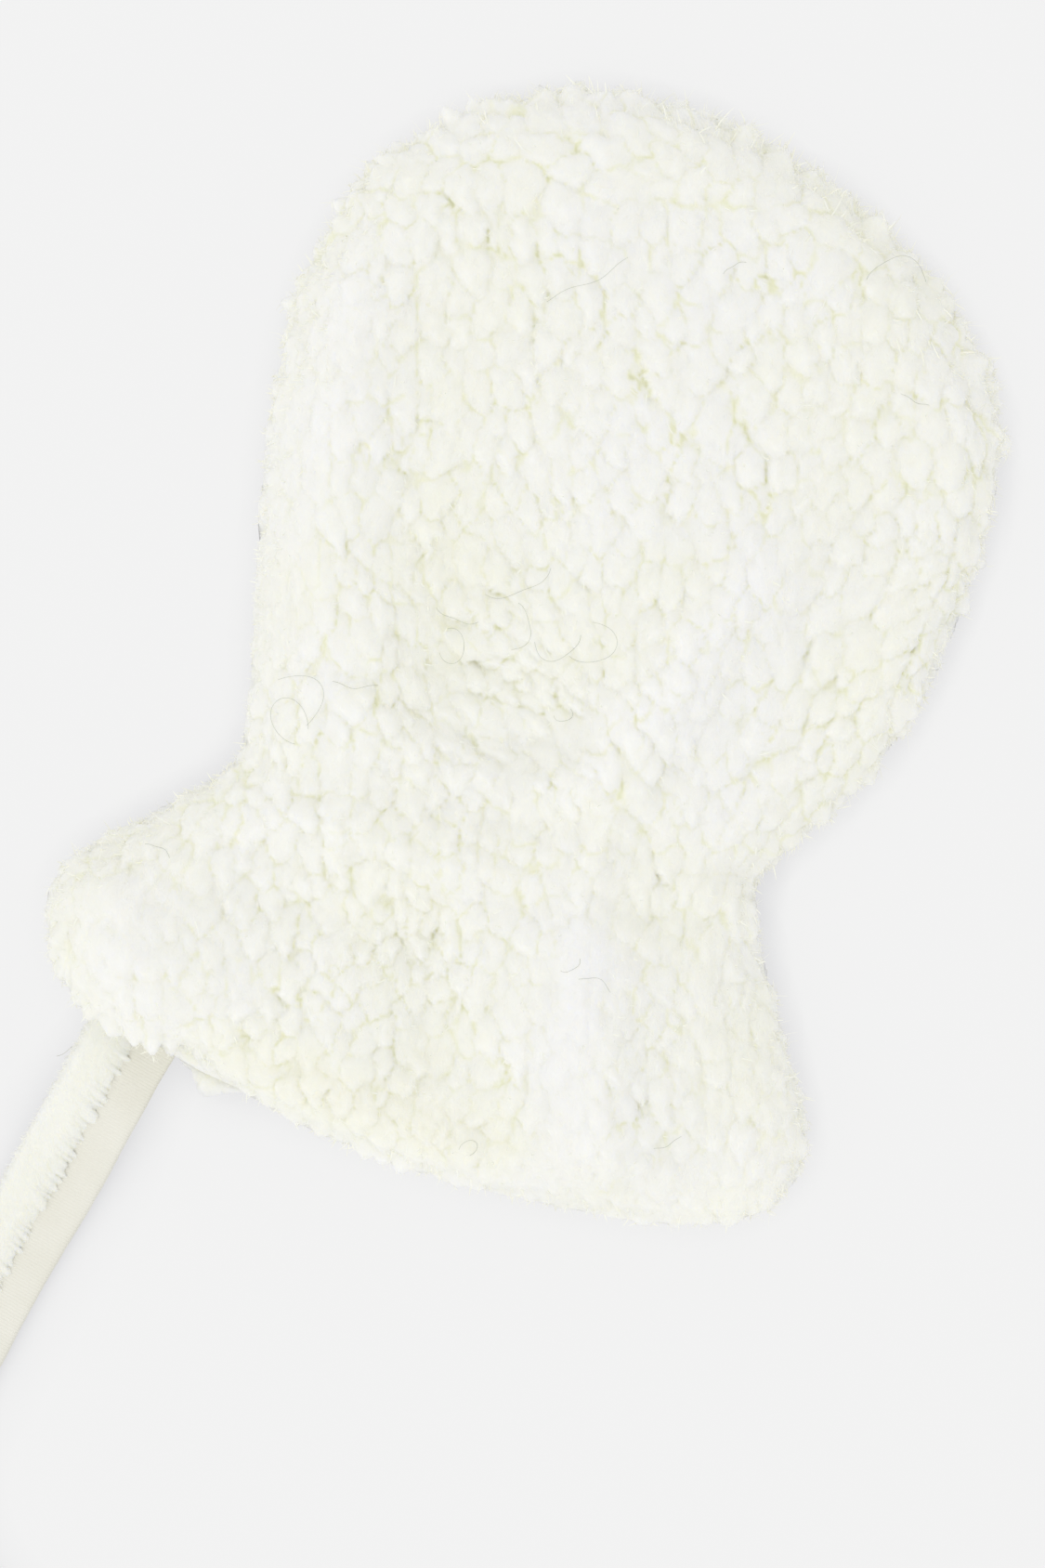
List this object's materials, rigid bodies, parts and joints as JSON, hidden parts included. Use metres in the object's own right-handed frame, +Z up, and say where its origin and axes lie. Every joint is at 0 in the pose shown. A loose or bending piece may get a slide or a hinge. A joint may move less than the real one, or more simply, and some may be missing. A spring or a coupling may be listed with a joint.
{
  "type": "pair of baby mittens",
  "caption": "Pair of thumbless baby mittens in thick teddy cloth with gathered wrists and flared cuffs, joined by a folded cloth strap and laid flat.",
  "frame": {"origin": "on the surface that the pair lies on, under the middle of the two mittens together", "axes": "+X across the pair from the second mitten to the first, +Y from the cuffs towards the tips, +Z up"},
  "size_m": [0.2686, 0.2617, 0.0183],
  "materials": {
    "teddy_pile": "off-white clumped teddy pile",
    "strap_cloth": "brushed off-white knit backing"
  },
  "bodies": {
    "root": {"first_front": "teddy_pile", "first_back": "teddy_pile", "first_front_hem": "teddy_pile", "first_back_hem": "teddy_pile", "second_front": "teddy_pile", "second_back": "teddy_pile", "second_front_hem": "teddy_pile", "second_back_hem": "teddy_pile", "strap": "strap_cloth"}
  },
  "joints": []
}
